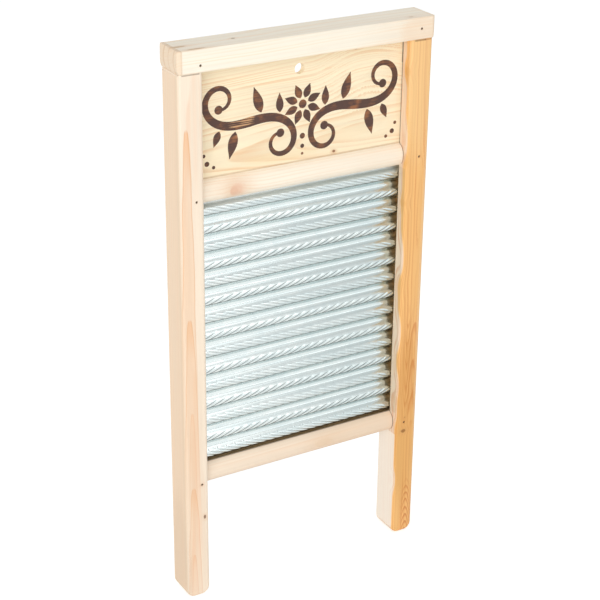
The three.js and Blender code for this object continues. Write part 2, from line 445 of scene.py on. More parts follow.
@dataclass(frozen=True)
class PineFinish:
    """Bare sanded pine, cut from one place in a log, with lengths in millimetres."""

    name: str
    pith: Pair  # where the pith lies from the board, across the fibres
    early: str
    late: str
    ring_width: float
    contrast: float  # how strongly the late wood shows
    taper: float  # how much the rings widen along the board
    fibres: Fibres = Fibres.ACROSS
    wander: float = 6.0  # how far the rings stray
    heart: str = "e09a4c"
    heart_radius: float = 0.0  # how far it reaches from the pith
    heart_edge: Pair = (1.6, 0.4)  # how far beyond that it fades in
    marks: tuple[Mark, ...] = ()
    flames: tuple[Flame, ...] = ()
    arcs: tuple[Arcs, ...] = ()
    # Tones in boxes, most of them painted shade in seams and grooves
    shades: tuple[Shade, ...] = ()
    tones: Pair = (0.12, 0.16)  # how much fine and broad streaks lighten it
    halo: tuple[float, str] = (0.35, "d9a06a")  # the glow round a mark: strength and colour
    dullness: Triple = (0.46, 0.16, 0.06)  # least roughness, what streaks add and late wood takes
    relief: Pair = (0.35, 0.12)  # strength and height

    def figured(self, graph: Surface, colour: Socket) -> Socket:
        """Adds the tongues and the nested arcs to the wood's colour.

        Args:
            graph: The material's graph.
            colour: The wood's colour.

        Returns:
            The wood's colour with its figure.
        """
        for flame in self.flames:
            sizes = {"Tip": flame.tip, "Width": flame.width, "Length": flame.length}
            tongue = graph.group(flame_mark, **sizes)
            colour = graph.mix(graph.times(tongue["Mask"], flame.strength), colour, self.heart)
            colour = graph.mix(graph.times(tongue["Rim"], flame.strength), colour, self.late)
        for arcs in self.arcs:
            sizes = {"Centre": arcs.centre, "Radii": arcs.radii, "Spacing": arcs.spacing, "Bend": arcs.bend}
            lines = graph.group(nested_arcs, **sizes)
            colour = graph.mix(graph.times(lines["Mask"], arcs.strength), colour, self.late)
        return colour

    def marked(self, graph: Surface, colour: Socket, spots: list[Sockets]) -> Socket:
        """Adds the marks and the shades, painted shade among them, to the wood's colour.

        Args:
            graph: The material's graph.
            colour: The wood's colour.
            spots: The outputs of each mark's group.

        Returns:
            The wood's colour with its marks and shades.
        """
        share, glow = self.halo
        for mark, spot in zip(self.marks, spots, strict=True):
            if not mark.strength:
                continue
            colour = graph.mix(graph.times(spot["Halo"], share * mark.strength), colour, glow)
            colour = graph.mix(graph.times(spot["Core"], mark.strength), colour, mark.colour)
        for shade in self.shades:
            sizes = {"Centre": shade.centre, "Core": shade.core(), "Round": shade.rounding}
            box = graph.group(seam_shade, **sizes)
            colour = graph.mix(graph.times(box["Mask"], shade.strength), colour, shade.colour)
        return colour

    def material(self) -> Material:
        """Makes the material.

        Returns:
            The new material.
        """
        graph = Surface(self.name)
        across, deep = self.pith
        pith = (across, deep, 0.0) if self.fibres is Fibres.UPRIGHT else (0.0, deep, across)
        turn = (0.0, self.fibres.value, 0.0)
        turned = graph.node("Mapping", graph.place, pith, turn, vector_type="TEXTURE").outputs[0]
        spots = [graph.group(round_mark, Centre=mark.centre, Radii=mark.radii) for mark in self.marks]
        pairs = zip(self.marks, spots, strict=True)
        push = graph.plus(0.0, *(graph.times(spot["Halo"], m.swell) for m, spot in pairs if m.swell))
        sizes = {"Ring_Width": self.ring_width, "Wander": self.wander, "Taper": self.taper, "Bulge": push}
        rings = graph.group(growth_rings, Place=turned, **sizes)
        late = rings["Late"]
        streaks = graph.group(wood_fibres, Place=turned)
        fine, broad = streaks["Fine"], streaks["Broad"]
        share = graph.times(late, graph.step(broad, 0.25, 0.75), self.contrast)
        colour = graph.mix(share, self.early, self.late)
        if self.heart_radius:
            edge = graph.plus(rings["Radius"], graph.times(broad, 3.0))
            heart = graph.step(edge, *(self.heart_radius + beyond for beyond in self.heart_edge))
            dark = graph.mix(graph.maths("MULTIPLY", share, 1.1, clamp=True), self.heart, self.late)
            colour = graph.mix(heart, colour, dark)
        colour = self.figured(graph, colour)
        tones = [graph.times(streak, tone) for streak, tone in zip((fine, broad), self.tones, strict=True)]
        colour = graph.mix(1.0, colour, graph.plus(*tones, 1.0 - sum(self.tones) / 2), "MULTIPLY")
        colour = self.marked(graph, colour, spots)
        least, streaky, smooth = self.dullness
        dull = graph.minus(graph.plus(graph.times(fine, streaky), least), graph.times(late, smooth))
        height = graph.plus(graph.times(fine, 0.7), graph.times(late, 0.3))
        return graph.finish(height, self.relief, Base_Color=colour, Roughness=dull)


@dataclass(frozen=True)
class BurnedFinish:
    """Pine scorched by a hot iron, with lengths in millimetres."""

    name: str = "burned_pine"
    char: str = "523930"
    scorch: str = "94603e"
    bare: str = "d8a878"  # the wood that the iron missed
    miss: Triple = (-52.0, -2.5, 398.0)  # where the iron missed streaks
    miss_radii: Triple = (11.0, 30.0, 16.0)  # how far that place reaches
    missed: float = 0.85  # how much of the wood shows there
    relief: Pair = (0.5, 0.1)  # strength and height

    def material(self) -> Material:
        """Makes the material.

        Returns:
            The new material.
        """
        graph = Surface(self.name)
        cloud = graph.noise(graph.place, (0.11, 0.11, 0.16), 3.0)
        streak = graph.noise(graph.place, (0.03, 1.0, 0.85))
        spot = graph.group(round_mark, Centre=self.miss, Radii=self.miss_radii)
        light = graph.step(graph.plus(cloud, graph.times(streak, 0.35)), 0.62, 0.95)
        gaps = graph.times(graph.step(streak, 0.5, 0.58), spot["Core"], self.missed)
        colour = graph.mix(gaps, graph.mix(light, self.char, self.scorch), self.bare)
        dull = graph.plus(graph.times(cloud, 0.2), 0.6)
        return graph.finish(streak, self.relief, Base_Color=colour, Roughness=dull)


@dataclass(frozen=True)
class PaintedShadeLine:
    """A painted shade line along the ribs, in millimetres."""

    above: float  # above a crest's middle
    width: float  # half the line's width
    strength: float  # how dark it is
    ribs: int = 1  # two: on every second rib
    fades: bool = False  # towards the right end


@dataclass(frozen=True)
class SheetFinish:
    """Satin galvanised metal, rougher and with painted shade in its creases, with lengths in millimetres."""

    name: str = "galvanised_metal"
    pale: str = "eef4f2"  # the brighter crystals' colour
    cool: str = "dae6e7"  # the bluer crystals' colour
    grains: Triple = (0.16, 0.16, 0.16)  # crystals in a millimetre, along each axis
    far: tuple[float, str] = (0.45, "becece")  # painted shade on the right end: share and colour
    far_reach: Pair = (-80.0, 90.0)  # places across between which that comes in
    ends: tuple[float, str] = (0.7, "ddca9f")  # painted reflection of the wood in the metal beside it: share and colour
    beside: Pair = (84.0, 90.5)  # distances from the middle between which that comes in
    crease_shade: str = "3a4242"  # the colour of the painted shade in creases and lines
    roughness: float = 0.15  # how dull the smooth metal is
    lines: tuple[PaintedShadeLine, ...] = (  # the painted shade lines above and below the crests
        PaintedShadeLine(3.2, 0.6, 0.22, 2, True),
        PaintedShadeLine(4.9, 1.6, 0.22),
        PaintedShadeLine(-2.4, 1.1, 0.7),
    )
    shaded: Pair = (329.3, 331.6)  # heights under the rail above with painted light on its shaded reflection
    shade: float = 0.6  # how much less metallic it looks there
    painted_rail_reflection: Pair = (120.8, 119.4)  # heights between which the painted reflection of the rail below comes in
    relief: Pair = (0.12, 0.05)  # strength and height

    def line_mask(self, graph: Graph, height: Socket, line: PaintedShadeLine) -> Socket:
        """Marks a level line on the ribs.

        Args:
            graph: The material's graph.
            height: The height, in millimetres.
            line: The line.

        Returns:
            One along the line, falling to zero beside it.
        """
        period = line.ribs * RIB_PITCH
        turns = graph.maths("DIVIDE", graph.minus(height, FIRST_VALLEY), period)
        away = graph.minus(graph.maths("FRACT", turns), (RIB_PITCH / 2 + line.above) / period)
        return graph.step(graph.plain(away), line.width / period, 0.0)

    def material(self) -> Material:
        """Makes the material.

        Returns:
            The new material.
        """
        graph = Surface(self.name)
        rolled = graph.noise(graph.place, (0.02, 0.6, 0.6), 3.0)
        crystals = graph.node("TexVoronoi", graph.vector("MULTIPLY", graph.place, self.grains), None, 1.0)
        crystal = graph.node("SeparateColor", crystals.outputs["Color"]).outputs[0]
        share = graph.step(graph.plus(graph.times(crystal, 0.15), rolled), 0.25, 0.9)
        colour = graph.mix(share, self.pale, self.cool)
        point = graph.axes(graph.place)
        right = graph.step(point["X"], *self.far_reach)
        colour = graph.mix(graph.times(right, self.far[0]), colour, self.far[1])
        # Painted reflection of the stiles beside and the rail below
        beside = graph.step(graph.plain(point["X"]), *self.beside)
        painted_wood_reflection = graph.maths("MAXIMUM", beside, graph.step(point["Z"], *self.painted_rail_reflection))
        colour = graph.mix(graph.times(painted_wood_reflection, self.ends[0]), colour, self.ends[1])
        # Painted shade along the level lines
        for line in self.lines:
            dull = graph.times(self.line_mask(graph, point["Z"], line), line.strength)
            if line.fades:
                dull = graph.times(dull, graph.minus(1.0, right))
            colour = graph.mix(dull, colour, self.crease_shade)
        # The painted crease shade from the sheet, which also roughens the metal
        crease_shade = graph.node("Attribute", attribute_name="crease_shade").outputs["Fac"]
        # Less metallic under the middle rail: painted light on the rail's shaded reflection
        dim = graph.times(graph.step(point["Z"], *self.shaded), self.shade)
        dull = graph.plus(graph.times(rolled, 0.12), graph.times(crease_shade, 0.2), self.roughness)
        colour, metallic = graph.mix(crease_shade, colour, self.crease_shade), graph.minus(1.0, dim)
        return graph.finish(rolled, self.relief, Metallic=metallic, Base_Color=colour, Roughness=dull)


@dataclass(frozen=True)
class SteelFinish:
    """Darkened steel of a small brad."""

    name: str = "dark_brad_steel"
    dark: str = "5a4c40"
    rust: str = "74604c"
    metallic: float = 0.7
    relief: Pair = (0.3, 0.03)  # strength and height

    def material(self) -> Material:
        """Makes the material.

        Returns:
            The new material.
        """
        graph = Surface(self.name)
        spots = graph.noise(graph.place, (2.5, 2.5, 2.5), 3.0)
        colour = graph.mix(spots, self.dark, self.rust)
        dull = graph.plus(graph.times(spots, 0.3), 0.4)
        return graph.finish(spots, self.relief, Metallic=self.metallic, Base_Color=colour, Roughness=dull)


class Bench:
    """The hand tools that every piece is made with."""

    @staticmethod
    def clear_selection() -> None:
        """Deselects every object."""
        for each in bpy.context.selected_objects:
            each.select_set(False)

    @classmethod
    def pick(cls, piece: Thing) -> None:
        """Makes one object the only selected and the active one.

        Args:
            piece: The object to pick.
        """
        cls.clear_selection()
        piece.select_set(True)
        bpy.context.view_layer.objects.active = piece

    @staticmethod
    def lay_out(name: str, data: bpy.types.ID) -> Thing:
        """Puts a new object into the scene.

        Args:
            name: The object's name.
            data: Its mesh, curve, light or camera.

        Returns:
            The object.
        """
        made = bpy.data.objects.new(name, data)
        bpy.context.scene.collection.objects.link(made)
        return made

    @classmethod
    def apply(cls, piece: Thing, kind: str, **settings: object) -> None:
        """Adds a modifier and applies it.

        Args:
            piece: The object to change.
            kind: The modifier's type.
            **settings: Properties to set on it.
        """
        cls.pick(piece)
        modifier = piece.modifiers.new(kind.lower(), kind)
        for name, value in settings.items():
            setattr(modifier, name, value)
        bpy.ops.object.modifier_apply(modifier=modifier.name)

    @classmethod
    def cut(cls, piece: Thing, cutter: Thing, crossing: bool = False) -> None:
        """Cuts one solid from another and throws the cutter away.

        Args:
            piece: The object that stays.
            cutter: The object that is taken out of it.
            crossing: Whether the cutter's own parts cross each other.
        """
        ways = {"operation": "DIFFERENCE", "solver": "EXACT", "material_mode": "TRANSFER"}
        cls.apply(piece, "BOOLEAN", object=cutter, use_self=crossing, **ways)
        bpy.data.objects.remove(cutter)

    @classmethod
    def box(cls, name: str, low: Sequence[float], high: Sequence[float]) -> Thing:
        """Adds a box between two corners, in metres.

        Args:
            name: The new object's name.
            low: The lowest corner.
            high: The highest corner.

        Returns:
            The box.
        """
        cls.clear_selection()
        corners = Vector(low), Vector(high)
        bpy.ops.mesh.primitive_cube_add(size=1, location=(corners[0] + corners[1]) / 2)
        made = bpy.context.object
        made.name = name
        made.scale = corners[1] - corners[0]
        return cls.settle(made)

    @classmethod
    def settle(cls, piece: Thing) -> Thing:
        """Puts an object's place into its mesh.

        Args:
            piece: The object.

        Returns:
            The same object, at the origin.
        """
        cls.pick(piece)
        bpy.ops.object.transform_apply(location=True, rotation=True, scale=True)
        return piece

    @classmethod
    def join(cls, pieces: Sequence[Thing], name: str) -> Thing:
        """Joins several objects into one.

        Args:
            pieces: The objects to join.
            name: The joined object's name.

        Returns:
            The joined object.
        """
        cls.pick(pieces[0])
        for each in pieces:
            each.select_set(True)
        bpy.ops.object.join()
        pieces[0].name = name
        return pieces[0]

    @staticmethod
    def dress(piece: Thing, *materials: Material) -> None:
        """Gives an object its materials.

        Args:
            piece: The object.
            *materials: Its materials, in the order of its slots.
        """
        piece.data.materials.clear()
        for each in materials:
            piece.data.materials.append(each)

    @staticmethod
    def hand_over(piece: Thing, slot: str, *nodes: str) -> None:
        """Attaches a finished piece to the body and hides the solids that it stands for.

        Args:
            piece: The piece.
            slot: Not used.
            *nodes: The solids that it stands for.
        """
        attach(piece, BODY)
        if nodes:
            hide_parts(*nodes)
        LOG.info("%s: %d faces", piece.name, len(piece.data.polygons))


PALE_STILE = PineFinish(
    name="left_stile_pine",
    fibres=Fibres.UPRIGHT,
    pith=(-97, -58),
    early="f7e7d2",
    late="e2a26a",
    heart="f0a860",
    ring_width=3.1,
    contrast=0.25,
    taper=0.012,
    marks=(
        Mark((-92.7, -13.5, 73.6), (1.1, 1, 1.9), "6f5038", 0.9, 0.8),
        Mark((-94.9, -13.5, 103.7), (1.3, 0.8, 1.3), "d9b48a", 0.5),
        Mark((-105, -13.5, 190), (8, 6, 170), "edbd8a", 0.15),
        # Greyer and darker low on the outer side face
        Mark((-109, 0, 10), (8, 16, 90), "c1b29f", 0.3),
    ),
    flames=(
        Flame((-103, -13.5, 400), 6.5, 270, 0.52),
        Flame((-102.4, -13.5, 250), 7, 190, 0.42),
        Flame((-102, -13.5, 170), 4, 110, 0.22),
        Flame((-101.7, -13.5, 103), 6.9, 150, 0.34),
        Flame((-102.2, -13.5, 41), 3.4, 60, 0.24),
    ),
    shades=(
        # Painted shadow under the cap's overhang
        Shade((-98.6, -13.5, 438.9), (7.2, 2, 0.55), colour="54381f", strength=0.8),
        # Painted shade inside the groove
        Shade((-91.5, 0, 228), (3.4, 3.3, 112), colour="2e2218", strength=0.9),
        # A darker, warmer tone over the outer side face
        Shade((-109.3, 0, 230), (0.9, 14, 235), 0.5, "e6bf94", 0.42),
        # Painted shading of the rounded front edge on the outer side face
        Shade((-108.7, -11, 220), (1.6, 2.4, 240), 1.2, "decab0", 0.25),
    ),
)

HEART_STILE = PineFinish(
    name="right_stile_pine",
    fibres=Fibres.UPRIGHT,
    pith=(128, -46),
    early="f4e0c8",
    late="d07a34",
    heart="f7c178",
    heart_radius=52.6,
    ring_width=2.1,
    contrast=0.64,
    wander=5,
    taper=-0.0075,
    marks=(
        Mark((96.3, -13.5, 100.3), (2.5, 1.2, 1.8), "70441e", 0.9, 1.6),
        Mark((97.2, -13.5, 113), (0.8, 0.8, 1), "a9682f", 0.5),
        Mark((88.75, -10, 414.5), (3, 3.6, 4), "e0a04c", 0.45, -2.2),
        Mark((88.75, -10, 392), (3, 6, 9), swell=1.3),
        Mark((88.3, -13, 358), (1.7, 3, 8.5), swell=3.9),
        Mark((88.2, -13, 258), (1.7, 3, 10), swell=3.8),
        Mark((88.3, -13, 194), (1.8, 3, 8), swell=3.6),
        Mark((88, -13, 134), (1.8, 3, 10), swell=3.8),
        Mark((88.2, -13, 53), (1.3, 3, 5), swell=3.8),
        Mark((103.5, -13.5, 297), (1.3, 6, 19), swell=4),
        Mark((88.75, -11.5, 343), (2.6, 3, 6), "e0a656", 0.4),
        Mark((88.75, -10, 307), (3, 3.6, 3.6), "e0a04c", 0.4, -1.8),
        Mark((88.75, -10, 237), (3, 5, 6), "e0a04c", 0.1, -1.4),
        Mark((88.75, -10, 130), (3, 5, 5), "e0a04c", 0.15, -1.8),
        # Darker and more orange towards the foot
        Mark((98, -13.5, 110), (12, 5, 90), "c4841e", 0.3),
        # Paler towards the top
        Mark((98, -13.5, 430), (14, 5, 95), "fbdaa4", 0.34),
        Mark((108.4, -13.5, 230), (3.6, 5, 220), "f8d7a4", 0.45),
    ),
    arcs=(
        Arcs((101.6, -13.5, 22), (6.4, 6, 31), 7, 0.6, 0.85),
        Arcs((96.9, -13.5, 158), (7, 6, 58), 18, -2.6, 0.5),
        Arcs((103.6, -13.5, 158), (8.5, 6, 56), 30, 1.4, 0.75),
    ),
    shades=(
        # Painted shade where the middle and bottom rails meet the inner face
        Shade((88.75, 0, 345.9), (9.5, 8.5, 9.2), 8.4),
        Shade((88.75, 0, 108.3), (9.5, 8.5, 9.2), 8.4),
        # Painted shadow under the cap's overhang
        Shade((97, -13.5, 438.8), (5, 2, 0.7), colour="5a3a1c", strength=0.9),
        Shade((104, -13.5, 438.8), (3.4, 2, 0.6), colour="9a5a26", strength=0.8),
        Shade((87.9, 0.6, 48), (1.1, 13.6, 50), 0.4, "faefe0", 0.75),
        Shade((87.9, 0.6, 227), (1.1, 13.6, 109), 0.4, "a88c54", 0.2),
        Shade((87.9, 0.6, 397), (1.1, 13.6, 42), 0.4, "dca060", 0.15),
        # Painted shade inside the groove
        Shade((91.5, 0, 228), (3.4, 3.3, 112), colour="8a7250", strength=0.5),
    ),
)

CAP_PINE = PineFinish(
    name="cap_pine",
    pith=(502, 16),
    early="fbf2e0",
    late="efc795",
    ring_width=2.4,
    contrast=0.34,
    taper=0.012,
    marks=(
        Mark((-57.7, -0.6, 457.2), (1.8, 1.2, 1), "8f7757", 0.7, 0.6),
        Mark((89.5, -10.2, 457.2), (2.2, 1.2, 1), "c9b089", 0.5, 0.6),
        Mark((-103, -2.5, 457.2), (7, 1.8, 1), "c8a374", 0.7),
        Mark((-94, -12.6, 457.2), (8, 1.3, 1), "c49c6a", 0.7),
        Mark((96, -15.1, 447), (20, 4, 12), "f0cda8", 0.35),
    ),
    shades=(
        Shade((-110, 0, 448.4), (4.4, 20, 12), 2, "dfbd98", 0.55),
        Shade((-110, -9.5, 448.4), (4.2, 0.8, 12), 0.6, "d2ab7c", 0.4),
        Shade((-110, -1.5, 448.4), (4.2, 0.6, 12), 0.5, "d2ab7c", 0.35),
        Shade((-110, 6, 448.4), (4.2, 1, 12), 0.8, "d2ab7c", 0.4),
        Shade((110, 0, 448.4), (4.4, 20, 12), 2, "eed4b4", 0.2),
    ),
)

MIDDLE_PINE = PineFinish(
    name="middle_rail_pine",
    pith=(395, 24),
    early="fcf1de",
    late="ecc29a",
    ring_width=2.4,
    contrast=0.34,
    taper=-0.006,
    marks=(
        Mark((-61.6, -8.6, 343.8), (3.4, 4, 4), "cf8d68", 0.5, 1.5),
        Mark((-59.6, -8.6, 344.4), (5.6, 4.4, 5), "e2ad90", 0.5),
        Mark((-58, -8.6, 344.4), (7.4, 5, 6), "f0cfb6", 0.45),
        Mark((-80, -8.6, 349), (14, 6, 6), "ecd0b0", 0.14, 4),
        Mark((-90, -8.6, 346), (20, 8, 14), "ecdac6", 0.08),
        Mark((74, -8.6, 346), (30, 8, 14), "f5dfc2", 0.15),
    ),
)

BOTTOM_PINE = PineFinish(
    name="bottom_rail_pine",
    pith=(60, -40),
    early="f6e4ce",
    late="e6bd94",
    ring_width=3.4,
    contrast=0.3,
    taper=0.003,
    marks=(
        Mark((20, -8.6, 108), (9, 6, 4), "e9caa6", 0.3),
        Mark((66, -8.6, 108), (62, 8, 16), "e2c3a0", 0.3),
    ),
    # Painted shade in the groove along the rail's top
    shades=(Shade((0, 0, 115.4), (100, 3.6, 2.4), colour="4a3018", strength=0.95),),
)

HEADER_PINE = PineFinish(
    name="header_pine",
    pith=(368, 34),
    early="faeac9",
    late="dfa05c",
    ring_width=2.1,
    contrast=0.5,
    wander=7,
    taper=-0.03,
    marks=(
        Mark((45.8, -2.5, 436.5), (2.6, 1, 0.8), "6b4a35", 0.8, 2),
        Mark((28.1, -2.5, 358.1), (1.4, 1, 1.2), "7a4a26", 0.9, 1.5),
        Mark((56, -2.5, 424), (15, 6, 13), swell=-9),
        Mark((40, -2.5, 372), (26, 6, 6), "f2c98c", 0.1, -1.5),
        Mark((-20, -2.5, 362), (34, 6, 5), "f4cf86", 0.14),
    ),
    shades=(
        # Painted shade in the seams at the right stile
        Shade((89, -2.5, 431), (1.1, 1, 11), strength=0.9),
        Shade((89, -2.5, 385), (0.75, 1, 45), strength=0.75),
        # Painted shade where the header meets the middle rail
        Shade((0, -2.5, 355.6), (90, 1, 0.6), colour="a5714a", strength=0.5),
    ),
)


@dataclass
class TimberFrame:
    """The stiles, the cap and the two rails."""

    # The finish and the slot name of each solid, by its name
    finishes: dict[str, tuple[PineFinish, str]] = field(
        default_factory=lambda: {
            "left_stile": (PALE_STILE, "pale_pine"),
            "right_stile": (HEART_STILE, "heart_pine"),
            "cap_rail": (CAP_PINE, "cream_pine"),
            "middle_rail": (MIDDLE_PINE, "cream_pine"),
            "bottom_rail": (BOTTOM_PINE, "pale_pine"),
        }
    )
    weld: float = 1e-6  # how near two corners are merged
    flat: float = 0.2  # degrees between faces that count as one
    round: float = 35.0  # degrees that are still smoothed

    def timber(self, node: str) -> Thing:
        """Makes a merged and smoothed copy of a wooden solid.

        Args:
            node: The solid's name.

        Returns:
            The new piece.
        """
        piece = Bench.lay_out(f"{node}_timber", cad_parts[node].data.copy())
        Bench.pick(piece)
        bpy.ops.mesh.customdata_custom_splitnormals_clear()
        bpy.ops.object.mode_set(mode="EDIT")
        bpy.ops.mesh.select_all(action="SELECT")
        bpy.ops.mesh.remove_doubles(threshold=self.weld)
        bpy.ops.mesh.dissolve_limited(angle_limit=math.radians(self.flat))
        bpy.ops.object.mode_set(mode="OBJECT")
        bpy.ops.object.shade_smooth_by_angle(angle=math.radians(self.round))
        Bench.apply(piece, "WEIGHTED_NORMAL", keep_sharp=True)
        return piece

    def build(self) -> None:
        """Makes and dresses every wooden piece but the header board."""
        for node, (finish, slot) in self.finishes.items():
            piece = self.timber(node)
            Bench.dress(piece, finish.material())
            Bench.hand_over(piece, slot, node)


@dataclass
class HeaderBoard:
    """The header board with its hole and a burned scroll ornament, in metres."""

    notch: Pair = (6.0 * MM, 4.5 * MM)  # the top corners' notches, across and down
    hole_radius: float = 4.2 * MM
    hole_sides: int = 64
    hole_centre: Pair = (-3.0 * MM, 427.6 * MM)  # the hanging hole's middle, across and up
    burn_depth: float = 0.35 * MM  # how deep the iron sank
    round: float = 30.0  # degrees that are still smoothed
    middle: Pair = (0.0, 400.0 * MM)  # the ornament's middle, across and up
    scroll_steps: int = 150  # from its middle to an end
    scroll_size: float = 45.0 * MM  # how large the scrolls are
    scroll_reach: float = 2.05  # how far each scroll winds from its middle
    scroll_lean: float = math.radians(-7.0)  # how far the scrolls lean from level, in radians
    scroll_shift: Pair = (45.0 * MM, -7.0 * MM)  # from the ornament's middle to a scroll's
    scroll_width: Pair = (2.2, 5.6)  # in millimetres: width at the ends, and what the middle adds
    # Place along the scroll, tilt in radians, length and width in metres
    leaves: tuple[tuple[float, float, float, float], ...] = (
        (0.36, 1.15, 15.0 * MM, 6.5 * MM),
        (0.44, 1.3, 21.0 * MM, 8.0 * MM),
        (0.56, -1.3, 21.0 * MM, 8.0 * MM),
        (0.63, -1.5, 12.5 * MM, 6.0 * MM),
    )
    leaf_gap: float = 1.4 * MM  # how far a leaf's stalk is from the scroll
    leaf_steps: int = 12
    eye: float = 3.4 * MM  # radius of the scrolls' ends and the flower's middle
    petals: int = 8
    petal_size: Pair = (11.5 * MM, 6.2 * MM)  # a petal's length and width
    petal_gap: float = 5.0 * MM  # how far the petals start from the flower's middle
    # Dots in millimetres, across, up and radius: under the flower
    trail: tuple[Triple, ...] = ((0.0, 375.0, 2.3), (0.0, 367.0, 1.7), (0.0, 361.0, 1.1))
    # In the right lower corner
    corners: tuple[Triple, ...] = ((81.0, 366.0, 2.0), (75.5, 362.5, 1.4), (83.5, 372.5, 1.4))

    def board(self) -> Thing:
        """Makes the plain board with its notches and its hole.

        Returns:
            The board.
        """
        low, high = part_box("header_board")
        board = Bench.box("header_board_burned", low, high)
        across, down = self.notch
        for side in (-1, 1):
            inner, outer = side * high.x - side * across, side * high.x + side * across
            start = Vector((min(inner, outer), low.y - across, high.z - down))
            end = Vector((max(inner, outer), high.y + across, high.z + down))
            Bench.cut(board, Bench.box("notch", start, end))
        Bench.clear_selection()
        bpy.ops.mesh.primitive_cylinder_add(
            vertices=self.hole_sides,
            radius=self.hole_radius,
            depth=4 * (high.y - low.y),
            location=(self.hole_centre[0], 0.0, self.hole_centre[1]),
            rotation=(math.pi / 2, 0.0, 0.0),
        )
        Bench.cut(board, Bench.settle(bpy.context.object))
        return board

    def stroke(self, points: Sequence[Pair], widths: Sequence[float]) -> Thing:
        """Makes one stroke of the iron as a flat solid on the board's face.

        Args:
            points: The stroke's line, across and up, in metres.
            widths: The stroke's width at each point, in metres.

        Returns:
            The stroke.
        """
        curve = bpy.data.curves.new("stroke", "CURVE")
        curve.dimensions = "3D"
        curve.bevel_depth = 1.0
        curve.bevel_resolution = 2
        curve.use_fill_caps = True
        spline = curve.splines.new("POLY")
        spline.points.add(len(points) - 1)
        for point, (x, z), width in zip(spline.points, points, widths, strict=True):
            point.co = (x, 0.0, z, 1.0)
            point.radius = width / 2
        Bench.pick(Bench.lay_out("stroke", curve))
        bpy.ops.object.convert(target="MESH")
        made = bpy.context.object
        made.scale = (1.0, self.burn_depth / (max(widths) / 2), 1.0)
        made.location = (0.0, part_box("header_board")[0].y, 0.0)
        return Bench.settle(made)

    def dot(self, x: float, z: float, radius: float) -> Thing:
        """Makes a round burn.

        Args:
            x: Its place across the board, in metres.
            z: Its height, in metres.
            radius: Its radius, in metres.

        Returns:
            The burn's solid.
        """
        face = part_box("header_board")[0].y
        Bench.clear_selection()
        bpy.ops.mesh.primitive_uv_sphere_add(segments=20, ring_count=10, radius=radius, location=(x, face, z))
        made = bpy.context.object
        made.scale = (1.0, self.burn_depth / radius, 1.0)
        return Bench.settle(made)

    def leaf(self, x: float, z: float, angle: float, length: float, width: float) -> Thing:
        """Makes a pointed leaf.

        Args:
            x: Its stalk's place across the board, in metres.
            z: Its stalk's height, in metres.
            angle: Which way it points, in radians from level.
            length: Its length, in metres.
            width: Its width, in metres.

        Returns:
            The leaf's solid.
        """
        belly, tip = 0.75, 0.06
        shares = [i / self.leaf_steps for i in range(self.leaf_steps + 1)]
        points = [(x + length * s * math.cos(angle), z + length * s * math.sin(angle)) for s in shares]
        return self.stroke(points, [max(width * math.sin(math.pi * s**belly), tip * width) for s in shares])

    def scroll(self, side: int) -> list[Thing]:
        """Makes one scroll with its leaves and an eye at each end.

        Args:
            side: Minus one for the left scroll, one for the right.

        Returns:
            The scroll's solids.
        """
        steps, turn = self.scroll_steps, self.scroll_lean
        lengths = np.linspace(-self.scroll_reach, self.scroll_reach, 2 * steps + 1)
        headings = math.pi / 2 * lengths**2
        gap = lengths[1] - lengths[0]
        x, z = np.cumsum(np.cos(headings)) * gap, np.cumsum(np.sin(headings)) * gap
        x, z = x - x[steps], z - z[steps]
        across = (x * math.cos(turn) - z * math.sin(turn)) * self.scroll_size
        up = (x * math.sin(turn) + z * math.cos(turn)) * self.scroll_size
        centre_x = side * (self.middle[0] + self.scroll_shift[0])
        centre_z = self.middle[1] + self.scroll_shift[1]
        points = [(centre_x + side * a, centre_z + u) for a, u in zip(across, up, strict=True)]
        thin, swell = self.scroll_width
        widths = [(thin + swell * s**0.9) * MM for s in 1 - np.abs(lengths) / self.scroll_reach]
        made = [self.stroke(points[::3], widths[::3])]
        made += [self.dot(*points[end], self.eye) for end in (0, -1)]
        for share, tilt, length, width in self.leaves:
            at = round(share * 2 * steps)
            heading = headings[at] + turn + tilt
            angle = heading if side > 0 else math.pi - heading
            offset = widths[at] / 2 + self.leaf_gap
            stalk = (points[at][0] + offset * math.cos(angle), points[at][1] + offset * math.sin(angle))
            made.append(self.leaf(*stalk, angle, length, width))
        return made

    def rosette(self) -> list[Thing]:
        """Makes the flower in the middle.

        Returns:
            The flower's solids.
        """
        x, z = self.middle
        made = [self.dot(x, z, self.eye)]
        for turn in range(self.petals):
            angle = 2 * math.pi * (turn + 0.5) / self.petals
            start = (x + self.petal_gap * math.cos(angle), z + self.petal_gap * math.sin(angle))
            made.append(self.leaf(*start, angle, *self.petal_size))
        return made

    def dots(self) -> list[Thing]:
        """Makes the small round burns under the flower and in the lower corners.

        Returns:
            The burns' solids.
        """
        made = [self.dot(x * MM, z * MM, radius * MM) for x, z, radius in self.trail]
        for side in (-1, 1):
            made += [self.dot(side * x * MM, z * MM, radius * MM) for x, z, radius in self.corners]
        return made

    def build(self) -> None:
        """Makes and dresses the board."""
        board = self.board()
        burned = BurnedFinish().material()
        Bench.dress(board, HEADER_PINE.material(), burned)
        iron = Bench.join([*self.scroll(-1), *self.scroll(1), *self.rosette(), *self.dots()], "iron")
        Bench.dress(iron, burned)
        Bench.cut(board, iron, crossing=True)
        Bench.pick(board)
        bpy.ops.object.shade_smooth_by_angle(angle=math.radians(self.round))
        Bench.hand_over(board, "header_pine", "header_board")


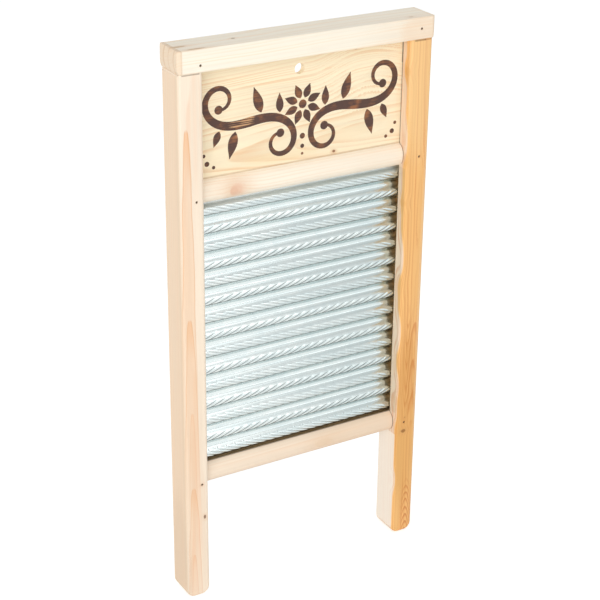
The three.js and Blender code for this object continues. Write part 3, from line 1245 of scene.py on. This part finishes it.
@dataclass
class FlutedSheet:
    """The ribbed sheet, with flutes like a rope's strands on each crest, in millimetres."""

    ribs: int = 15
    rib_depth: float = 4.4  # from valley to crest
    flank_share: float = 0.93  # how much the flanks are steepened
    thickness: float = 0.4
    bead: float = 3.0  # half the height of the fluted crest
    bead_lift: float = -0.1  # the fluted crest's middle above the rib's
    fade: float = 1.4  # height over which flutes fade at its edges
    flutes: int = 24
    # Corners across a flute, as shares of its width
    flute_columns: tuple[float, ...] = (0.0, 0.05, 0.18, 0.34, 0.5, 0.66, 0.82, 0.95)
    flute_rise: float = 2.77  # how far a flute rises in one flute's width
    flute_depth: float = 0.66
    flute_power: float = 0.6  # less makes the creases narrower
    first_crease: float = 4.6  # across, on a rib's middle line
    stagger: float = 0.8  # how far that place shifts from rib to rib
    run_out: float = 12.0  # the stretch at each end where columns straighten
    bead_rows: int = 9
    valley_rows: int = 6
    crowding: float = 1.5  # above one, the rows of a valley get closer towards the crests
    edge_rows: int = 2
    lit_spread: float = 1.7  # narrowness of the painted shade lines where flutes rise rightwards
    shaded_tone: float = 0.09  # painted shade over the other crests all over
    shaded_line: float = 0.42  # and painted shade of the lines on them
    round: float = 60.0  # degrees that are still smoothed

    @property
    def reach(self) -> float:
        """Half the sheet's width, in millimetres."""
        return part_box("ribbed_sheet")[1].x / MM

    @property
    def flute_width(self) -> float:
        """One flute's width along a rib, in millimetres."""
        return 2 * self.reach / self.flutes

    @property
    def top_valley(self) -> float:
        """The height of the highest valley, in millimetres."""
        return FIRST_VALLEY + self.ribs * RIB_PITCH

    def row_heights(self) -> np.ndarray:
        """Gives the height of each row of corners, closer on the crests.

        Returns:
            The heights, in millimetres.
        """
        low, high = (corner.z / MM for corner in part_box("ribbed_sheet"))
        heights = list(np.linspace(low, FIRST_VALLEY, self.edge_rows, endpoint=False))
        spread = np.linspace(1, 0, self.valley_rows // 2, endpoint=False) ** self.crowding
        lower = -self.bead - (RIB_PITCH / 2 - self.bead) * spread
        crest = np.linspace(-self.bead, self.bead, self.bead_rows, endpoint=False)
        upper = np.append(self.bead, -lower[:0:-1])
        for rib in range(self.ribs):
            middle = FIRST_VALLEY + (rib + 0.5) * RIB_PITCH
            heights += list(middle + np.concatenate([lower, crest, upper]))
        heights += list(np.linspace(self.top_valley, high, self.edge_rows + 1))
        return np.array(heights)

    def wave(self, heights: np.ndarray) -> np.ndarray:
        """Gives the depth of the ribs' middle surface, crests to the front.

        Args:
            heights: The heights, in millimetres.

        Returns:
            The depths, in millimetres.
        """
        held = np.clip(heights, FIRST_VALLEY, self.top_valley)
        cosine = np.cos(2 * np.pi * ((held - FIRST_VALLEY) / RIB_PITCH - 0.5))
        steep = self.flank_share**2
        return -(self.rib_depth / 2) * cosine * np.sqrt((1 + steep) / (1 + steep * cosine**2))

    def on_rib(self, z: np.ndarray) -> tuple[np.ndarray, np.ndarray, np.ndarray]:
        """Finds the rib at a height.

        Args:
            z: Heights, in millimetres.

        Returns:
            The rib's number, the height above its middle in millimetres, and its flutes' slant.
        """
        rib = np.clip(np.floor((z - FIRST_VALLEY) / RIB_PITCH), 0, self.ribs - 1)
        above = z - (FIRST_VALLEY + (rib + 0.5) * RIB_PITCH)
        return rib, above, np.where(rib % 2 == 0, -1.0, 1.0)

    def columns(self) -> np.ndarray:
        """Gives the place of each column of corners on a rib's middle line, closer at the creases.

        Returns:
            The places across the sheet, in millimetres.
        """
        starts = np.arange(-self.flutes, self.flutes)[:, None] + np.array(self.flute_columns)
        places = self.first_crease + starts.ravel() * self.flute_width
        margin = 0.1
        inside = places[np.abs(places) < self.reach - margin]
        return np.concatenate([[-self.reach], inside, [self.reach]])

    def slanted(self, x: np.ndarray, z: np.ndarray) -> np.ndarray:
        """Shifts corners sideways so that each column follows the flutes up a rib.

        Args:
            x: The corners' places on the rib's middle line, in millimetres.
            z: Their heights, in millimetres.

        Returns:
            Their places across the sheet, in millimetres.
        """
        _, above, slant = self.on_rib(z)
        run = self.flute_width / self.flute_rise
        room = np.clip((self.reach - np.abs(x)) / self.run_out, 0, 1)
        return x + room * slant * run * np.clip(above, -self.bead, self.bead)

    def surface(self, x: np.ndarray, z: np.ndarray) -> tuple[np.ndarray, np.ndarray]:
        """Gives the sheet's depth with its flutes, and the painted shade in its creases.

        Args:
            x: Places across the sheet, in millimetres.
            z: Heights, in millimetres.

        Returns:
            The depths in millimetres, and the painted shade on the crests, which also makes them rougher.
        """
        stagger_turn, stagger_run = 2.4, 60.0
        rib, above, slant = self.on_rib(z)
        start = self.first_crease + self.stagger * np.sin(rib * stagger_turn) * np.cos(x / stagger_run)
        phase = (x - start) / self.flute_width - slant * above / self.flute_rise
        height = np.abs(np.sin(np.pi * phase))
        share = np.clip((self.bead - np.abs(above - self.bead_lift)) / self.fade, 0, 1)
        cover = share * share * (3 - 2 * share)
        hollow = 1 - height
        # Painted shade in the creases: strong where flutes rise rightwards, a faint tone with lines on the
        # other crests
        dull = np.where(slant > 0, hollow**self.lit_spread, self.shaded_tone + self.shaded_line * hollow**3)
        return self.wave(z) + self.flute_depth * cover * (1 - height**self.flute_power), cover * dull

    def build(self) -> None:
        """Makes and dresses the sheet."""
        heights, places = self.row_heights(), self.columns()
        across, up = len(places) - 1, len(heights) - 1
        Bench.clear_selection()
        bpy.ops.mesh.primitive_grid_add(x_subdivisions=across, y_subdivisions=up, size=2)
        piece = bpy.context.object
        piece.name = "ribbed_sheet_fluted"
        corners = np.zeros(len(piece.data.vertices) * 3, np.float32)
        piece.data.vertices.foreach_get("co", corners)
        corners = corners.reshape(-1, 3)
        z = heights[np.rint((corners[:, 1] + 1) / 2 * up).astype(int)]
        x = self.slanted(places[np.rint((corners[:, 0] + 1) / 2 * across).astype(int)], z)
        depth, crease_shade = self.surface(x, z)
        placed = np.stack([x, depth, z], axis=1) * MM
        piece.data.vertices.foreach_set("co", placed.astype(np.float32).ravel())
        # Keeps the painted crease shade on the corners for the material
        share = piece.data.attributes.new("crease_shade", "FLOAT", "POINT")
        share.data.foreach_set("value", crease_shade.astype(np.float32))
        piece.data.update()
        Bench.apply(piece, "SOLIDIFY", thickness=self.thickness * MM, offset=0.0, use_even_offset=True)
        Bench.pick(piece)
        bpy.ops.object.mode_set(mode="EDIT")
        bpy.ops.mesh.select_all(action="SELECT")
        bpy.ops.mesh.normals_make_consistent(inside=False)
        bpy.ops.object.mode_set(mode="OBJECT")
        bpy.ops.object.shade_smooth_by_angle(angle=math.radians(self.round))
        Bench.dress(piece, SheetFinish().material())
        Bench.hand_over(piece, "galvanised_sheet", "ribbed_sheet")


@dataclass
class BradSet:
    """The small brads in the joints."""

    rails: tuple[str, ...] = ("cap", "middle", "bottom")
    sides: tuple[str, ...] = ("left", "right")

    def build(self) -> None:
        """Dresses each brad's own solid."""
        steel = SteelFinish().material()
        for name in (f"{rail}_brad_{side}" for rail in self.rails for side in self.sides):
            Bench.dress(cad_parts[name], steel)
            LOG.info("%s: dressed", name)


def bearing(azimuth: float, elevation: float) -> Vector:
    """Gives the direction from the object to a place so many degrees round it and above level."""
    turn, rise = math.radians(azimuth), math.radians(elevation)
    return Vector((math.sin(turn) * math.cos(rise), -math.cos(turn) * math.cos(rise), math.sin(rise)))


@dataclass(frozen=True)
class Softbox:
    """A soft square light that faces the object, in metres and watts."""

    name: str
    azimuth: float  # how far round, in degrees
    elevation: float  # how far above level, in degrees
    size: float
    power: float

    def hang(self, target: Vector, distance: float) -> None:
        """Hangs the light.

        Args:
            target: What it faces, in metres.
            distance: How far from that it hangs, in metres.
        """
        back = bearing(self.azimuth, self.elevation)
        light = bpy.data.lights.new(self.name, "AREA")
        light.size = self.size
        light.energy = self.power
        made = Bench.lay_out(self.name, light)
        made.location = target + back * distance
        made.rotation_euler = back.to_track_quat("Z", "Y").to_euler()


@dataclass
class Studio:
    """The floor, the lights and the camera, in metres."""

    azimuth: float = -30.712  # the camera's, in degrees, as are the next two
    elevation: float = 24.485
    roll: float = 0.697
    distance: float = 1.2664
    target: Triple = (-0.0007, -0.0032, 0.2394)  # what it looks at
    focal_pixels: float = 1607.43  # the focal length
    picture_pixels: float = 600.0
    sensor: float = 36.0  # in millimetres
    floor_size: float = 30.0
    floor_colour: str = "f2f2f2"
    ambient: float = 0.78
    overhead: Pair = (0.3, 0.9)  # upward shares of a direction between which it dulls
    ceiling: float = 0.68  # brightness overhead, as a share
    mirrored_ceiling: float = 0.82
    # The main one, one for the flutes and one for the valleys
    lights: tuple[Softbox, ...] = (
        Softbox("key_softbox", -50.0, 14.0, 1.5, 20.0),
        Softbox("fill_softbox", 14.0, 45.0, 1.1, 5.0),
        Softbox("low_softbox", 29.0, 8.0, 0.4, 0.55),
    )
    light_distance: float = 2.2  # from the target
    glow: float = 0.47  # how much brighter the floor looks than lit
    mirrored_glow: float = 0.35

    def camera(self) -> None:
        """Puts the camera where the picture was taken from."""
        turn, roll = math.radians(self.azimuth), math.radians(self.roll)
        back = bearing(self.azimuth, self.elevation)
        right = Vector((math.cos(turn), math.sin(turn), 0.0))
        up = back.cross(right)
        across = math.cos(roll) * right + math.sin(roll) * up
        upward = math.cos(roll) * up - math.sin(roll) * right
        lens = bpy.data.cameras.new("camera")
        lens.sensor_width = self.sensor
        lens.lens = self.focal_pixels / self.picture_pixels * self.sensor
        made = Bench.lay_out("camera", lens)
        facing = Matrix((across, upward, back)).transposed().to_4x4()
        made.matrix_world = Matrix.Translation(Vector(self.target) + back * self.distance) @ facing
        bpy.context.scene.camera = made

    def room(self) -> None:
        """Makes the room's even light, duller overhead and white in the picture."""
        world = bpy.data.worlds.new("room")
        bpy.context.scene.world = world
        graph = Graph(emptied(world))
        height = graph.axes(graph.node("TexCoord").outputs["Generated"])["Z"]
        overhead = graph.step(height, *self.overhead)
        ceilings = (self.ceiling, self.mirrored_ceiling)
        lit, shown = (graph.minus(1.0, graph.times(overhead, 1 - share)) for share in ceilings)
        path = graph.node("LightPath").outputs
        passed = graph.maths("MAXIMUM", path["Is Glossy Ray"], path["Is Transmission Ray"])
        seen = graph.maths("MAXIMUM", path["Is Camera Ray"], passed)
        background = graph.node("Background", graph.mix(seen, graph.times(self.ambient, lit), shown))
        graph.node("OutputWorld", background.outputs[0])

    def floor(self) -> None:
        """Lays a pale floor that shows white in the picture and keeps the shadow."""
        Bench.clear_selection()
        bpy.ops.mesh.primitive_plane_add(size=self.floor_size)
        made = bpy.context.object
        made.name = "studio_floor"
        material = bpy.data.materials.new("pale_floor")
        graph = Graph(emptied(material))
        paint = graph.node("BsdfDiffuse", self.floor_colour)
        path = graph.node("LightPath").outputs
        seen = graph.times(path["Is Camera Ray"], self.glow)
        mirrored = graph.times(path["Is Glossy Ray"], self.mirrored_glow)
        glow = graph.node("Emission", None, graph.plus(seen, mirrored))
        both = graph.node("AddShader", paint.outputs[0], glow.outputs[0])
        graph.node("OutputMaterial", both.outputs[0])
        Bench.dress(made, material)

    def build(self) -> None:
        """Sets up the room, the lights, the floor and the camera."""
        self.room()
        for light in self.lights:
            light.hang(Vector(self.target), self.light_distance)
        self.floor()
        self.camera()
        view = bpy.context.scene.view_settings
        view.view_transform = "Standard"


def main() -> None:
    """Builds the pieces in order, then the studio."""
    logging.basicConfig(level=logging.INFO, format="%(name)s: %(message)s")
    TimberFrame().build()
    HeaderBoard().build()
    FlutedSheet().build()
    BradSet().build()
    Studio().build()


if __name__ == "__main__":
    main()
